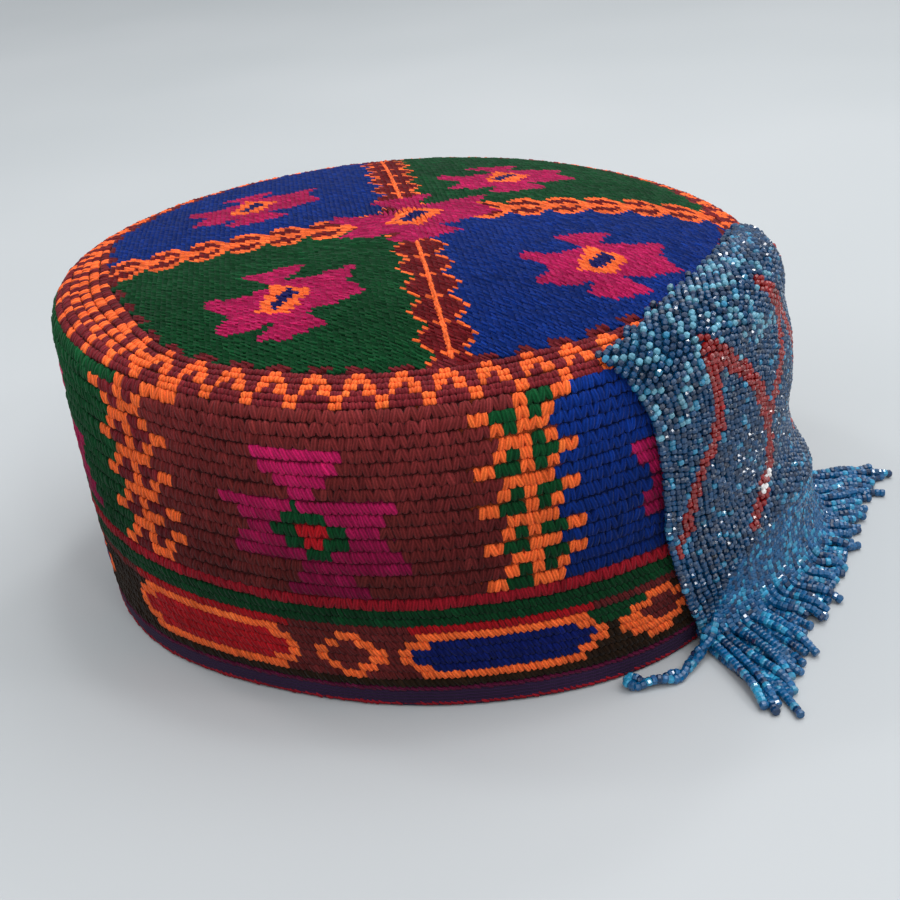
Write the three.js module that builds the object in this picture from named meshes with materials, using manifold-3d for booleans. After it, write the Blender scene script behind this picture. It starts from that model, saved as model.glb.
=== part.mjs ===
import * as THREE from 'three';
import Module from 'manifold-3d';

// A round embroidered skullcap with a beaded flap over its right side.
// Millimetres, +Z up, the front towards -Y. Azimuths run from -Y towards +X.
// A run is a length up the outer face of the cap, from the floor to the crown's centre.

// Cap
const BASE_RADIUS = 90;
const RIM_FLARE = 1.6;
const RIM_RADIUS = BASE_RADIUS + RIM_FLARE;
const RIM_HEIGHT = 82.1;
const SHOULDER_RADIUS = 9.1;
const CROWN_RISE = 9.3;
const CROWN_POWER = 2.67;
const WALL_BULGE = 0.8;
const LEAN_SIDE = -2.2;
const LEAN_BACK = 1.7;
const CLOTH = 2.6;
const SEAM_GAP = 0.3;
const BAND_TOP = 27.1;
const HEM_HEIGHT = 5;
const HEM_THICKNESS = 3;
const HEM_ROUNDING = 1.1;

// Beaded flap
const FLAP_THICKNESS = 2.2;
const FLAP_GAP = 0.45;
const FLAP_FLARE = 9.5;

// Fringe
const FRINGE_LENGTH = 35;
const FRINGE_HEADER = 2.8;
const LOCK_WIDTH = 5.1;
const LOCK_THICKNESS = 2.9;
const LOCK_TIP = 0.72;
const LOCK_SINK = 0.62;

// Fineness of the faces
const AROUND = 64;
const SHOULDER_STEPS = 5;
const CROWN_STEPS = 8;
const INNER_CROWN_STEPS = 4;
const WALL_STEPS = 9;
const INNER_WALL_STEPS = 3;
const BAND_STEPS = 3;
const FLAP_COLUMNS = 15;
const FLAP_WALL_STEPS = 9;
const LOCK_HANGING_STEPS = 4;
const LOCK_LYING_STEPS = 3;
const LOCK_SIDES = 8;

const DEGREE = Math.PI / 180;
const FULL_TURN = 360;

// The soft cap's uneven outline.
// base: share of BASE_RADIUS, rim: share of RIM_RADIUS, lift: share of RIM_HEIGHT.
const OUTLINE = [
  { azimuth: 0, base: -0.029, rim: -0.038, lift: -0.024 },
  { azimuth: 30, base: 0.017, rim: -0.024, lift: -0.022 },
  { azimuth: 60, base: 0.0, rim: 0.0, lift: -0.025 },
  { azimuth: 90, base: -0.03, rim: 0.009, lift: -0.035 },
  { azimuth: 120, base: -0.008, rim: 0.006, lift: -0.03 },
  { azimuth: 150, base: 0.022, rim: 0.004, lift: -0.008 },
  { azimuth: 180, base: 0.011, rim: 0.001, lift: 0.015 },
  { azimuth: 210, base: -0.018, rim: 0.0, lift: 0.028 },
  { azimuth: 240, base: 0.005, rim: 0.013, lift: 0.039 },
  { azimuth: 270, base: 0.05, rim: 0.027, lift: 0.045 },
  { azimuth: 300, base: 0.023, rim: 0.018, lift: 0.027 },
  { azimuth: 330, base: -0.041, rim: -0.017, lift: -0.007 },
];

// Shallow hollows pressed into the cloth.
// up and tall: shares of RIM_HEIGHT, wide: degrees, deep: share of CLOTH.
const HOLLOWS = [
  { azimuth: 26, up: 0.66, wide: 11, tall: 0.07, deep: 0.45 },
  { azimuth: 27, up: 0.4, wide: 12, tall: 0.07, deep: 0.4 },
  { azimuth: -38, up: 0.8, wide: 12, tall: 0.09, deep: 0.3 },
  { azimuth: 165, up: 0.55, wide: 20, tall: 0.14, deep: 0.5 },
  { azimuth: 245, up: 0.45, wide: 16, tall: 0.12, deep: 0.4 },
];

// The flap's left and right edges. down: share of the flap's length, edges in degrees of azimuth.
const FLAP_SIDES = [
  { down: 0, left: 26, right: 85 },
  { down: 0.08, left: 28.5, right: 87 },
  { down: 0.15, left: 30.8, right: 88 },
  { down: 0.27, left: 33, right: 88.7 },
  { down: 0.35, left: 33.7, right: 89 },
  { down: 0.49, left: 33.5, right: 89.3 },
  { down: 0.63, left: 33.7, right: 89.5 },
  { down: 0.77, left: 34.8, right: 89.8 },
  { down: 0.88, left: 36.2, right: 90 },
  { down: 1, left: 38.2, right: 90 },
];

// The flap's top and bottom edges. across: share of its width from the left edge,
// top: share of RIM_RADIUS from the crown's centre, bottom: share of RIM_HEIGHT above the floor.
const FLAP_ENDS = [
  { across: 0, top: 0.915, bottom: 0.073 },
  { across: 0.05, top: 0.908, bottom: 0.125 },
  { across: 0.11, top: 0.894, bottom: 0.19 },
  { across: 0.22, top: 0.867, bottom: 0.26 },
  { across: 0.35, top: 0.845, bottom: 0.3 },
  { across: 0.53, top: 0.85, bottom: 0.3 },
  { across: 0.73, top: 0.862, bottom: 0.262 },
  { across: 0.82, top: 0.87, bottom: 0.252 },
  { across: 1, top: 0.89, bottom: 0.245 },
];

// How far the flap stands off the cap at its left edge, middle and right edge.
// down: share of the flap's length, the rest: shares of FLAP_FLARE.
const FLAP_DRAPE = [
  { down: 0, left: 0.0, middle: 0.06, right: 0.0 },
  { down: 0.15, left: 0.01, middle: 0.24, right: 0.04 },
  { down: 0.23, left: 0.02, middle: 0.13, right: 0.06 },
  { down: 0.32, left: 0.03, middle: 0.09, right: 0.08 },
  { down: 0.44, left: 0.04, middle: 0.28, right: 0.12 },
  { down: 0.6, left: 0.04, middle: 0.33, right: 0.16 },
  { down: 0.75, left: 0.04, middle: 0.26, right: 0.2 },
  { down: 0.87, left: 0.05, middle: 0.48, right: 0.34 },
  { down: 1, left: 0.08, middle: 1.0, right: 0.62 },
];
const FLAP_MIDDLE = 0.72;

// The fringe's locks. across: share of the flap's width, length: share of FRINGE_LENGTH,
// swing: how far the hanging part leans out, as a share of its drop,
// turn: degrees from straight outwards, sway: sideways bend as a share of the lock's reach.
const LOCKS = [
  { across: 0.04, length: 1.04, swing: 0.9, turn: -20, sway: 0.03 },
  { across: 0.12, length: 1.08, swing: 0.5, turn: -20, sway: 0.03 },
  { across: 0.19, length: 1.03, swing: 0.36, turn: -10, sway: 0.02 },
  { across: 0.27, length: 0.99, swing: 0.34, turn: -2, sway: 0.02 },
  { across: 0.35, length: 0.97, swing: 0.33, turn: 7, sway: 0.01 },
  { across: 0.42, length: 0.93, swing: 0.34, turn: 8, sway: 0.0 },
  { across: 0.5, length: 0.89, swing: 0.35, turn: 9, sway: -0.01 },
  { across: 0.58, length: 0.94, swing: 0.36, turn: 23, sway: -0.02 },
  { across: 0.65, length: 0.93, swing: 0.38, turn: 21, sway: -0.03 },
  { across: 0.73, length: 0.96, swing: 0.42, turn: 18, sway: -0.03 },
  { across: 0.81, length: 1.03, swing: 0.48, turn: 14, sway: -0.02 },
  { across: 0.88, length: 1.11, swing: 0.58, turn: 7, sway: -0.02 },
  { across: 0.955, length: 1.2, swing: 0.7, turn: 4, sway: -0.01 },
];

// Smooth curve through four values, with t from 0 at b to 1 at c.
function smoothBetween(a, b, c, d, t) {
  const slopeB = (c - a) / 2;
  const slopeC = (d - b) / 2;
  const t2 = t * t;
  const t3 = t2 * t;
  return b * (2 * t3 - 3 * t2 + 1) + slopeB * (t3 - 2 * t2 + t) + c * (3 * t2 - 2 * t3) + slopeC * (t3 - t2);
}

// A column of OUTLINE at any azimuth.
function outlineAt(azimuth, column) {
  const step = FULL_TURN / OUTLINE.length;
  const place = (((azimuth % FULL_TURN) + FULL_TURN) % FULL_TURN) / step;
  const index = Math.floor(place);
  const row = (offset) => OUTLINE[(index + offset + OUTLINE.length) % OUTLINE.length][column];
  return smoothBetween(row(-1), row(0), row(1), row(2), place - index);
}

// A column of a table whose rows are ordered by their key.
function tableAt(table, key, at, column) {
  const last = table.length - 1;
  let index = 0;
  while (index < last - 1 && table[index + 1][key] <= at) {
    index += 1;
  }
  const span = table[index + 1][key] - table[index][key];
  const t = THREE.MathUtils.clamp((at - table[index][key]) / span, 0, 1);
  const row = (i) => table[THREE.MathUtils.clamp(i, 0, last)][column];
  return smoothBetween(row(index - 1), row(index), row(index + 1), row(index + 2), t);
}

// The cap's section at an azimuth: wall height, shoulder arc and crown.
// The shoulder turns until it meets the crown's slope.
function sectionAt(azimuth) {
  const base = BASE_RADIUS * (1 + outlineAt(azimuth, 'base'));
  const rim = RIM_RADIUS * (1 + outlineAt(azimuth, 'rim'));
  const wall = RIM_HEIGHT * (1 + outlineAt(azimuth, 'lift')) - SHOULDER_RADIUS;
  const peak = RIM_HEIGHT + CROWN_RISE;
  const centre = rim - SHOULDER_RADIUS;
  let turn = Math.PI / 2;
  let edgeRadius = centre;
  let edgeHeight = wall + SHOULDER_RADIUS;
  for (let pass = 0; pass < 8; pass += 1) {
    turn = Math.PI / 2 - Math.atan((CROWN_POWER * (peak - edgeHeight)) / edgeRadius);
    edgeRadius = centre + SHOULDER_RADIUS * Math.cos(turn);
    edgeHeight = wall + SHOULDER_RADIUS * Math.sin(turn);
  }
  const shoulderEnd = wall + SHOULDER_RADIUS * turn;
  return { base, rim, wall, peak, centre, turn, edgeRadius, edgeHeight, shoulderEnd };
}

function hollowAt(azimuth, height) {
  let deep = 0;
  for (const hollow of HOLLOWS) {
    const around = ((azimuth - hollow.azimuth + 1.5 * FULL_TURN) % FULL_TURN) - FULL_TURN / 2;
    const up = height / RIM_HEIGHT - hollow.up;
    deep += hollow.deep * CLOTH * Math.exp(-((around / hollow.wide) ** 2) - (up / hollow.tall) ** 2);
  }
  return deep;
}

// A point of the cap at an azimuth and a run, at a depth inside its outer face.
function capPoint(azimuth, run, depth) {
  const section = sectionAt(azimuth);
  let radius;
  let height;
  if (run <= section.wall) {
    const t = run / section.wall;
    const straight = section.base + (section.rim - section.base) * t;
    radius = straight + WALL_BULGE * 4 * t * (1 - t) - depth - hollowAt(azimuth, run);
    height = run;
  } else if (run <= section.shoulderEnd) {
    const angle = (run - section.wall) / SHOULDER_RADIUS;
    const fade = 1 - (run - section.wall) / (section.shoulderEnd - section.wall);
    const arc = SHOULDER_RADIUS - depth - hollowAt(azimuth, section.wall) * fade;
    radius = section.centre + arc * Math.cos(angle);
    height = section.wall + arc * Math.sin(angle);
  } else {
    const flat = Math.max(section.edgeRadius - (run - section.shoulderEnd), 0);
    const share = flat / section.edgeRadius;
    const rise = section.peak - section.edgeHeight;
    const slope = Math.atan(((CROWN_POWER * rise) / section.edgeRadius) * share ** (CROWN_POWER - 1));
    radius = flat - depth * Math.sin(slope);
    height = section.edgeHeight + rise * (1 - share ** CROWN_POWER) - depth * Math.cos(slope);
  }
  const x = radius * Math.sin(azimuth * DEGREE) + (LEAN_SIDE * height) / RIM_HEIGHT;
  const y = -radius * Math.cos(azimuth * DEGREE) + (LEAN_BACK * height) / RIM_HEIGHT;
  return new THREE.Vector3(x, y, height);
}

function steps(from, to, count) {
  return Array.from({ length: count + 1 }, (_, i) => from + ((to - from) * i) / count);
}

function geometryOf(points, triangles) {
  const geometry = new THREE.BufferGeometry();
  const positions = points.flatMap((point) => point.toArray());
  geometry.setAttribute('position', new THREE.Float32BufferAttribute(positions, 3));
  geometry.setIndex(triangles);
  geometry.computeVertexNormals();
  return geometry;
}

// A ring around the cap whose closed section is given by stationsAt(azimuth).
function ringGeometry(stationsAt) {
  const sections = steps(0, FULL_TURN, AROUND).slice(0, AROUND).map(stationsAt);
  const count = sections[0].length;
  const triangles = [];
  for (let i = 0; i < AROUND; i += 1) {
    const next = (i + 1) % AROUND;
    for (let k = 0; k < count; k += 1) {
      const up = (k + 1) % count;
      triangles.push(i * count + k, next * count + k, next * count + up);
      triangles.push(i * count + k, next * count + up, i * count + up);
    }
  }
  return geometryOf(sections.flat(), triangles);
}

// A dome closed at the axis: its section runs from the inner centre, round the lower edge,
// to the outer centre.
function domeGeometry(stationsAt, innerCentre, outerCentre) {
  const sections = steps(0, FULL_TURN, AROUND).slice(0, AROUND).map(stationsAt);
  const count = sections[0].length;
  const inner = AROUND * count;
  const outer = inner + 1;
  const triangles = [];
  for (let i = 0; i < AROUND; i += 1) {
    const next = (i + 1) % AROUND;
    triangles.push(inner, next * count, i * count);
    for (let k = 0; k < count - 1; k += 1) {
      triangles.push(i * count + k, next * count + k, next * count + k + 1);
      triangles.push(i * count + k, next * count + k + 1, i * count + k + 1);
    }
    triangles.push(i * count + count - 1, next * count + count - 1, outer);
  }
  return geometryOf([...sections.flat(), innerCentre, outerCentre], triangles);
}

// A thin sheet between two grids of points, with columns to the right and rows upwards.
function sheetGeometry(outerRows, innerRows) {
  const rows = outerRows.length;
  const columns = outerRows[0].length;
  const points = [...outerRows.flat(), ...innerRows.flat()];
  const outer = (row, column) => row * columns + column;
  const inner = (row, column) => rows * columns + outer(row, column);
  const triangles = [];
  const quad = (a, b, c, d) => triangles.push(a, b, c, a, c, d);
  for (let row = 0; row < rows - 1; row += 1) {
    for (let column = 0; column < columns - 1; column += 1) {
      const right = column + 1;
      const up = row + 1;
      quad(outer(row, column), outer(row, right), outer(up, right), outer(up, column));
      quad(inner(row, column), inner(up, column), inner(up, right), inner(row, right));
    }
  }
  for (let row = 0; row < rows - 1; row += 1) {
    const last = columns - 1;
    quad(outer(row, 0), outer(row + 1, 0), inner(row + 1, 0), inner(row, 0));
    quad(outer(row, last), inner(row, last), inner(row + 1, last), outer(row + 1, last));
  }
  for (let column = 0; column < columns - 1; column += 1) {
    const top = rows - 1;
    quad(outer(0, column), inner(0, column), inner(0, column + 1), outer(0, column + 1));
    quad(outer(top, column), outer(top, column + 1), inner(top, column + 1), inner(top, column));
  }
  return geometryOf(points, triangles);
}

// Crown: the round top with the rounded shoulder.
function crownStations(azimuth) {
  const { wall, shoulderEnd, edgeRadius } = sectionAt(azimuth);
  const seam = wall + SEAM_GAP / 2;
  const crownRun = (share) => shoulderEnd + edgeRadius * share;
  const shoulder = steps(seam, shoulderEnd, SHOULDER_STEPS);
  const crown = steps(0, 1, CROWN_STEPS).slice(1, CROWN_STEPS).map(crownRun);
  const innerCrown = steps(0, 1, INNER_CROWN_STEPS).slice(1, INNER_CROWN_STEPS).map(crownRun);
  const inside = [...shoulder, ...innerCrown].reverse();
  const outside = [...shoulder, ...crown];
  return [
    ...inside.map((run) => capPoint(azimuth, run, CLOTH)),
    ...outside.map((run) => capPoint(azimuth, run, 0)),
  ];
}

function crownGeometry() {
  const { shoulderEnd, edgeRadius } = sectionAt(0);
  const centreRun = shoulderEnd + edgeRadius;
  return domeGeometry(crownStations, capPoint(0, centreRun, CLOTH), capPoint(0, centreRun, 0));
}

// A ring of cloth between two runs.
function clothRing(fromAt, toAt, outerSteps, innerSteps) {
  return ringGeometry((azimuth) => {
    const from = fromAt(azimuth);
    const to = toAt(azimuth);
    return [
      ...steps(from, to, outerSteps).map((run) => capPoint(azimuth, run, 0)),
      ...steps(to, from, innerSteps).map((run) => capPoint(azimuth, run, CLOTH)),
    ];
  });
}

// Hem binding: the edging that closes the lower edge, rounded where it turns under.
function hemStations(azimuth) {
  const top = HEM_HEIGHT - SEAM_GAP / 2;
  const inner = HEM_THICKNESS;
  return [
    capPoint(azimuth, 0, HEM_ROUNDING),
    capPoint(azimuth, HEM_ROUNDING * (1 - Math.SQRT1_2), HEM_ROUNDING * (1 - Math.SQRT1_2)),
    capPoint(azimuth, HEM_ROUNDING, 0),
    capPoint(azimuth, top, 0),
    capPoint(azimuth, top, inner),
    capPoint(azimuth, 0, inner),
  ];
}

// The flap's edges and drape.
function flapAzimuth(across, down) {
  const left = tableAt(FLAP_SIDES, 'down', down, 'left');
  const right = tableAt(FLAP_SIDES, 'down', down, 'right');
  return left + (right - left) * across;
}

function flapStandoff(across, down) {
  const side = across < FLAP_MIDDLE ? 'left' : 'right';
  const reach = across < FLAP_MIDDLE ? FLAP_MIDDLE : 1 - FLAP_MIDDLE;
  const share = THREE.MathUtils.smoothstep(1 - Math.abs(across - FLAP_MIDDLE) / reach, 0, 1);
  const edge = tableAt(FLAP_DRAPE, 'down', down, side);
  const middle = tableAt(FLAP_DRAPE, 'down', down, 'middle');
  return FLAP_GAP + FLAP_FLARE * (edge + (middle - edge) * share);
}

function flapBottom(across) {
  return RIM_HEIGHT * tableAt(FLAP_ENDS, 'across', across, 'bottom');
}

// The flap's rows at one share of its width, from the bottom edge to the top edge, as runs.
function flapRuns(across) {
  const { wall, shoulderEnd, edgeRadius } = sectionAt(flapAzimuth(across, 0));
  const top = shoulderEnd + edgeRadius - RIM_RADIUS * tableAt(FLAP_ENDS, 'across', across, 'top');
  const bottom = flapBottom(across);
  const runs = [
    ...steps(bottom, wall, FLAP_WALL_STEPS),
    ...steps(wall, shoulderEnd, SHOULDER_STEPS).slice(1),
    (shoulderEnd + top) / 2,
    top,
  ];
  return runs.map((run) => ({ run, down: (top - run) / (top - bottom) }));
}

function flapRows(outward) {
  const columns = steps(0, 1, FLAP_COLUMNS).map((across) =>
    flapRuns(across).map(({ run, down }) =>
      capPoint(flapAzimuth(across, down), run, -flapStandoff(across, down) - outward)));
  return columns[0].map((_, row) => columns.map((column) => column[row]));
}

// Fringe header: a strip along the flap's lower edge.
function headerRows(outward) {
  return [SEAM_GAP + FRINGE_HEADER, SEAM_GAP].map((below) =>
    steps(0, 1, FLAP_COLUMNS).map((across) =>
      capPoint(flapAzimuth(across, 1), flapBottom(across) - below, -flapStandoff(across, 1) - outward)));
}

// One lock of the fringe: it hangs from the header, swings out and lies on the floor.
function lockGeometry(lock) {
  const azimuth = flapAzimuth(lock.across, 1);
  const middle = -flapStandoff(lock.across, 1) - FLAP_THICKNESS / 2;
  const root = capPoint(azimuth, flapBottom(lock.across) - SEAM_GAP - FRINGE_HEADER * LOCK_SINK, middle);
  const radius = Math.hypot(root.x, root.y);
  const span = (LOCK_WIDTH / 2 / radius / DEGREE) / (flapAzimuth(1, 1) - flapAzimuth(0, 1));
  const rise = flapBottom(lock.across + span) - flapBottom(lock.across - span);
  const outAngle = (azimuth + lock.turn) * DEGREE;
  const out = new THREE.Vector3(Math.sin(outAngle), -Math.cos(outAngle), 0);
  const aside = new THREE.Vector3(Math.cos(outAngle), Math.sin(outAngle), 0);
  const floor = LOCK_THICKNESS / 2;
  const drop = root.z - floor;
  const swing = drop * lock.swing;
  const hanging = (Math.PI / 2) * Math.sqrt((drop * drop + swing * swing) / 2);
  const lying = Math.max(FRINGE_LENGTH * lock.length - hanging, LOCK_WIDTH);
  const reach = swing + lying;
  const path = [
    ...steps(0, Math.PI / 2, LOCK_HANGING_STEPS).map((angle) => ({
      forward: swing * (1 - Math.cos(angle)),
      height: floor + drop * (1 - Math.sin(angle)),
      pitch: Math.atan2(drop * Math.cos(angle), swing * Math.sin(angle)),
    })),
    ...steps(0, lying, LOCK_LYING_STEPS).slice(1).map((further) => ({
      forward: swing + further,
      height: floor,
      pitch: 0,
    })),
  ];
  const last = path.length - 1;
  const rings = path.map(({ forward, height, pitch }, index) => {
    const taper = 1 - (1 - LOCK_TIP) * (index / last) ** 2;
    const tilt = (rise / 2) * Math.max(1 - index / LOCK_HANGING_STEPS, 0) ** 2;
    const bend = lock.sway * reach * Math.sin((Math.PI * forward) / reach);
    const centre = root.clone().addScaledVector(out, forward).addScaledVector(aside, bend);
    centre.z = height;
    const up = out.clone().multiplyScalar(Math.sin(pitch));
    up.z = Math.cos(pitch);
    return steps(0, 2 * Math.PI, LOCK_SIDES).slice(0, LOCK_SIDES).map((angle) =>
      centre.clone()
        .addScaledVector(aside, (LOCK_WIDTH / 2) * taper * Math.cos(angle))
        .addScaledVector(up, floor * Math.sin(angle))
        .add(new THREE.Vector3(0, 0, tilt * Math.cos(angle))));
  });
  const triangles = [];
  for (let ring = 0; ring < last; ring += 1) {
    for (let side = 0; side < LOCK_SIDES; side += 1) {
      const a = ring * LOCK_SIDES + side;
      const b = ring * LOCK_SIDES + ((side + 1) % LOCK_SIDES);
      triangles.push(a, b, b + LOCK_SIDES, a, b + LOCK_SIDES, a + LOCK_SIDES);
    }
  }
  for (let side = 1; side < LOCK_SIDES - 1; side += 1) {
    const tip = last * LOCK_SIDES;
    triangles.push(0, side + 1, side);
    triangles.push(tip, tip + side, tip + side + 1);
  }
  return geometryOf(rings.flat(), triangles);
}

const wasm = await Module();
wasm.setup();

function solidOf(geometry) {
  const vertProperties = new Float32Array(geometry.attributes.position.array);
  const triVerts = new Uint32Array(geometry.index.array);
  return new wasm.Manifold(new wasm.Mesh({ numProp: 3, vertProperties, triVerts }));
}

function fringeGeometry() {
  const header = sheetGeometry(headerRows(FLAP_THICKNESS), headerRows(0));
  const fused = LOCKS.reduce((solid, lock) => solid.add(solidOf(lockGeometry(lock))), solidOf(header));
  const { vertProperties, triVerts } = fused.getMesh();
  const geometry = new THREE.BufferGeometry();
  geometry.setAttribute('position', new THREE.BufferAttribute(vertProperties, 3));
  geometry.setIndex(new THREE.BufferAttribute(triVerts, 1));
  geometry.computeVertexNormals();
  return geometry;
}

function piece(name, geometry, color, roughness) {
  const material = new THREE.MeshStandardMaterial({ color, roughness, metalness: 0 });
  const mesh = new THREE.Mesh(geometry, material);
  mesh.name = name;
  return mesh;
}

const bandFrom = () => HEM_HEIGHT + SEAM_GAP / 2;
const bandTo = () => BAND_TOP - SEAM_GAP / 2;
const wallFrom = () => BAND_TOP + SEAM_GAP / 2;
const wallTo = (azimuth) => sectionAt(azimuth).wall - SEAM_GAP / 2;

const cap = new THREE.Group();
cap.add(
  piece('crown', crownGeometry(), 0x173a8c, 0.9),
  piece('side_wall', clothRing(wallFrom, wallTo, WALL_STEPS, INNER_WALL_STEPS), 0x5b2226, 0.9),
  piece('lower_band', clothRing(bandFrom, bandTo, BAND_STEPS, 1), 0x1c3b22, 0.9),
  piece('hem_binding', ringGeometry(hemStations), 0x2b1d5e, 0.85),
  piece('bead_flap', sheetGeometry(flapRows(FLAP_THICKNESS), flapRows(0)), 0x1f5878, 0.3),
  piece('bead_fringe', fringeGeometry(), 0x0f5a94, 0.25),
);

// The origin is under the middle of the whole part, on the floor.
const box = new THREE.Box3().setFromObject(cap);
const middle = box.getCenter(new THREE.Vector3());
cap.position.set(-middle.x, -middle.y, -box.min.z);

const part = new THREE.Group();
part.add(cap);

export default part;
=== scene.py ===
"""Tubeteika skullcap: embroidered cloth cap with a beaded flap and fringe.

Lengths in this file are millimetres about the cap's axis until a mesh is made,
where they become metres in the frame of the solids.
"""

import math

import bpy
import numpy as np
from mathutils import Matrix, Vector


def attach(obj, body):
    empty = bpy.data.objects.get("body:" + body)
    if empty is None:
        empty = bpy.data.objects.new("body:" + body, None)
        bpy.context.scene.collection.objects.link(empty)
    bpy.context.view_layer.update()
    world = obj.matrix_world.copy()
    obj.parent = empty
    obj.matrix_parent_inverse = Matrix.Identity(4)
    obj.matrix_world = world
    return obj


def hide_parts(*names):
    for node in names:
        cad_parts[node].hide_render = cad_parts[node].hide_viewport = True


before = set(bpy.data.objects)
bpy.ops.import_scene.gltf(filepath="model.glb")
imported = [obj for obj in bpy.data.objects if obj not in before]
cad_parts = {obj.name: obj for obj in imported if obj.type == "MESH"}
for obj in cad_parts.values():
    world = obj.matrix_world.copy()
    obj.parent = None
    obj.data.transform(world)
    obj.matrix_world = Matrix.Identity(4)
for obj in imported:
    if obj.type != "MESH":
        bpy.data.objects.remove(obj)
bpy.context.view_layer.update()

MM = 0.001
AXIS = np.array([-15.577, 4.934, 0.0])

# The cap's form, as the solids have it.
BASE_RADIUS = 90.0
RIM_RADIUS = 91.6
RIM_HEIGHT = 82.1
SHOULDER = 9.1
CROWN_RISE = 9.3
CROWN_POWER = 2.67
WALL_BULGE = 0.8
LEAN_SIDE = -2.2
LEAN_BACK = 1.7
CLOTH = 2.6
SEAM_GAP = 0.3
BAND_TOP = 27.1
HEM_HEIGHT = 5.0
HEM_THICKNESS = 3.0
HEM_ROUND = 0.9
FLAP_THICKNESS = 2.2
FLAP_GAP = 0.45
FLAP_FLARE = 9.5
FLAP_MIDDLE = 0.72
FRINGE_LENGTH = 35.0
FRINGE_HEADER = 2.8
LOCK_WIDTH = 5.1
LOCK_SINK = 0.62

# Outline every 30 degrees: share added to the base radius, the rim radius and the rim height.
OUTLINE = np.array([
    (-0.029, -0.038, -0.024), (0.017, -0.024, -0.022), (0.0, 0.0, -0.025), (-0.03, 0.009, -0.035),
    (-0.008, 0.006, -0.03), (0.022, 0.004, -0.008), (0.011, 0.001, 0.015), (-0.018, 0.0, 0.028),
    (0.005, 0.013, 0.039), (0.05, 0.027, 0.045), (0.023, 0.018, 0.027), (-0.041, -0.017, -0.007),
])
# Hollows of the wall: azimuth, height share, width in degrees, height share, depth in cloths.
HOLLOWS = [
    (26, 0.66, 11, 0.07, 0.45), (27, 0.4, 12, 0.07, 0.4), (-38, 0.8, 12, 0.09, 0.3),
    (165, 0.55, 20, 0.14, 0.5), (245, 0.45, 16, 0.12, 0.4),
]
# Flap edges against the share of its length: left and right azimuth.
FLAP_SIDES = np.array([
    (0, 26, 85), (0.08, 28.5, 87), (0.15, 30.8, 88), (0.27, 33, 88.7), (0.35, 33.7, 89),
    (0.49, 33.5, 89.3), (0.63, 33.7, 89.5), (0.77, 34.8, 89.8), (0.88, 36.2, 90), (1, 38.2, 90),
])
# Flap ends against the share of its width: radius share of the top edge, height share below.
FLAP_ENDS = np.array([
    (0, 0.915, 0.073), (0.05, 0.908, 0.125), (0.11, 0.894, 0.19), (0.22, 0.867, 0.26),
    (0.35, 0.845, 0.3), (0.53, 0.85, 0.3), (0.73, 0.862, 0.262), (0.82, 0.87, 0.252),
    (1, 0.89, 0.245),
])
# Flap drape against the share of its length: flare of the left edge, the middle, the right edge.
FLAP_DRAPE = np.array([
    (0, 0, 0.06, 0), (0.15, 0.01, 0.24, 0.04), (0.23, 0.02, 0.13, 0.06), (0.32, 0.03, 0.09, 0.08),
    (0.44, 0.04, 0.28, 0.12), (0.6, 0.04, 0.33, 0.16), (0.75, 0.04, 0.26, 0.2),
    (0.87, 0.05, 0.48, 0.34), (1, 0.08, 1, 0.62),
])
# Fringe locks: share of the flap's width, length, swing, turn in degrees, sway.
LOCKS = [
    (0.04, 1.04, 0.9, -20, 0.03), (0.12, 1.08, 0.5, -20, 0.03), (0.19, 1.03, 0.36, -10, 0.02),
    (0.27, 0.99, 0.34, -2, 0.02), (0.35, 0.97, 0.33, 7, 0.01), (0.42, 0.93, 0.34, 8, 0.0),
    (0.5, 0.89, 0.35, 9, -0.01), (0.58, 0.94, 0.36, 23, -0.02), (0.65, 0.93, 0.38, 21, -0.03),
    (0.73, 0.96, 0.42, 18, -0.03), (0.81, 1.03, 0.48, 14, -0.02), (0.88, 1.11, 0.58, 7, -0.02),
    (0.955, 1.2, 0.7, 4, -0.01),
]

# Thread and bead colours, as screen values.
COLOURS = {
    "brown": (110, 38, 38), "maroon": (112, 32, 38), "darkred": (112, 22, 28),
    "blue": (8, 44, 122), "green": (12, 70, 36), "olive": (46, 30, 18), "orange": (248, 106, 50),
    "magenta": (186, 26, 88), "red": (190, 24, 34), "crimson": (176, 28, 44), "navy": (26, 26, 92),
    "deepblue": (14, 30, 104), "purple": (104, 24, 62), "hem": (42, 22, 52), "teal": (8, 58, 96),
    # painted_sheen_teal is a painted sheen: pale beads for the flap's lit upper left
    "brightteal": (44, 122, 158), "painted_sheen_teal": (92, 150, 172), "slate": (20, 46, 76),
    "beadred": (134, 22, 22), "beadwhite": (238, 236, 234), "fringe": (2, 78, 124),
    "fringelight": (40, 134, 172), "fringedark": (2, 46, 84), "lining": (196, 184, 164),
}
NAMES = list(COLOURS)


def linear(rgb):
    """A screen colour as the linear value that a shader takes."""
    c = np.asarray(rgb, float) / 255
    return np.where(c <= 0.04045, c / 12.92, ((c + 0.055) / 1.055) ** 2.4)


PALETTE = np.array([linear(COLOURS[name]) for name in NAMES])
INDEX = {name: i for i, name in enumerate(NAMES)}


# The cap's surface


def hermite(a, b, c, d, t):
    """Smooth curve through four values, with t from 0 at b to 1 at c."""
    t2, t3 = t * t, t * t * t
    ends = b * (2 * t3 - 3 * t2 + 1) + c * (3 * t2 - 2 * t3)
    return ends + (c - a) / 2 * (t3 - 2 * t2 + t) + (d - b) / 2 * (t3 - t2)


def outline_at(azimuth, column):
    place = np.mod(azimuth, 360) / 30
    i = np.floor(place).astype(int)
    v, n = OUTLINE[:, column], len(OUTLINE)
    return hermite(v[(i - 1) % n], v[i % n], v[(i + 1) % n], v[(i + 2) % n], place - i)


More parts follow.
